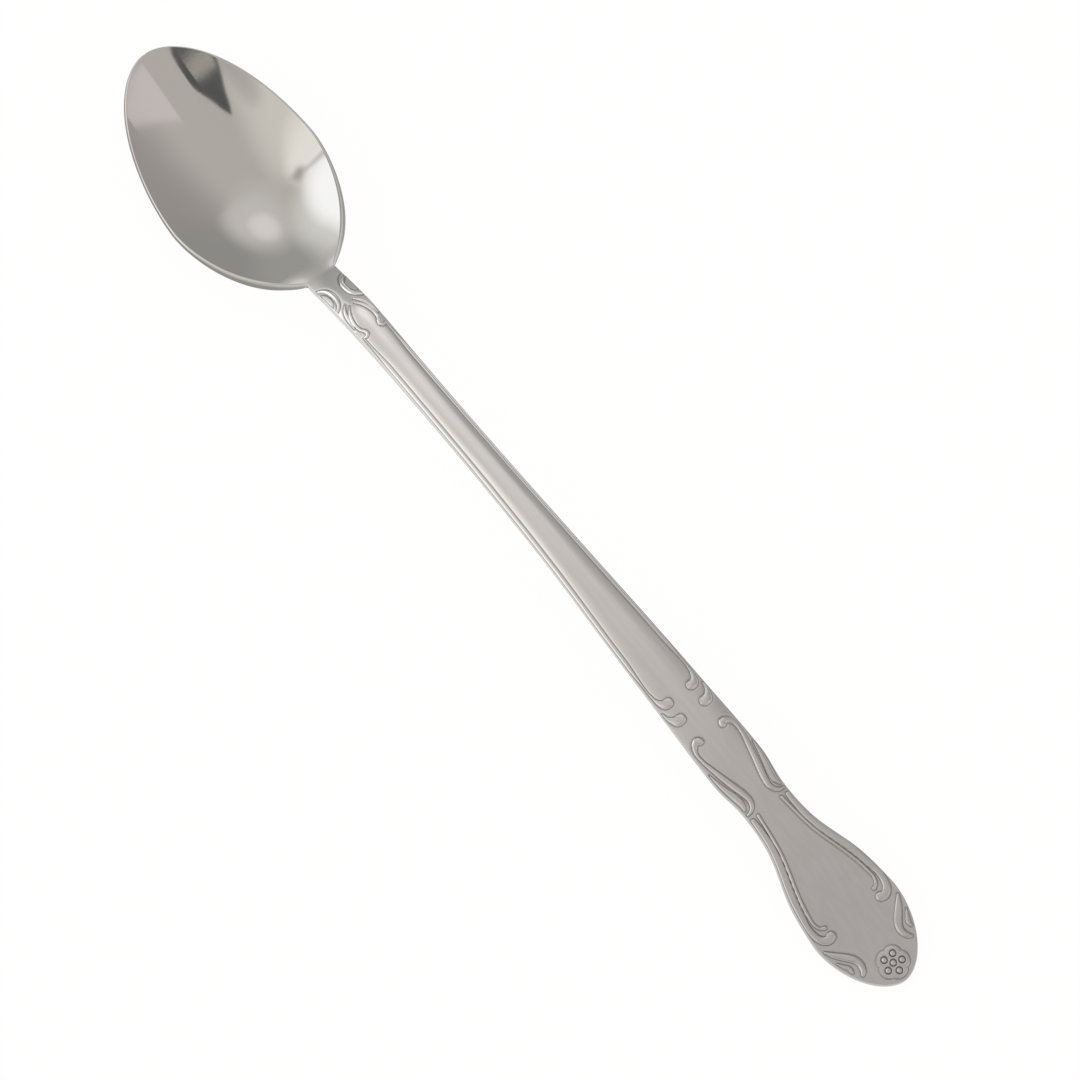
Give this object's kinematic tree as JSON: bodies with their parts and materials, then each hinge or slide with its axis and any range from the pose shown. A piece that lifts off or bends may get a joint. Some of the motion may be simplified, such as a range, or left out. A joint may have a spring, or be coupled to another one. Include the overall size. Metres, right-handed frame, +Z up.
{
  "type": "iced tea spoon",
  "caption": "Long-handled spoon with an oval bowl, a slim arched stem and a broad handle end with raised scrolls and a small flower.",
  "frame": {"origin": "middle of the spoon's footprint, on the table it lies on", "axes": "+X along the spoon towards the handle's end, +Z up out of the bowl's hollow"},
  "size_m": [0.1899, 0.0286, 0.0132],
  "materials": {
    "polished_steel": "mirror-polished stainless steel",
    "satin_steel": "softly polished stainless steel, darker in the pattern's hollows"
  },
  "bodies": {
    "root": {"bowl": "polished_steel", "neck": "satin_steel", "stem": "satin_steel", "shoulder": "satin_steel", "handle_end": "satin_steel", "edge_threads": "satin_steel", "neck_crescents": "satin_steel", "neck_leaves": "satin_steel", "comma_curls": "satin_steel", "shoulder_leaves": "satin_steel", "border_scrolls": "satin_steel", "tip_leaves": "satin_steel", "flower_petals": "satin_steel", "flower_dots": "satin_steel"}
  },
  "joints": []
}
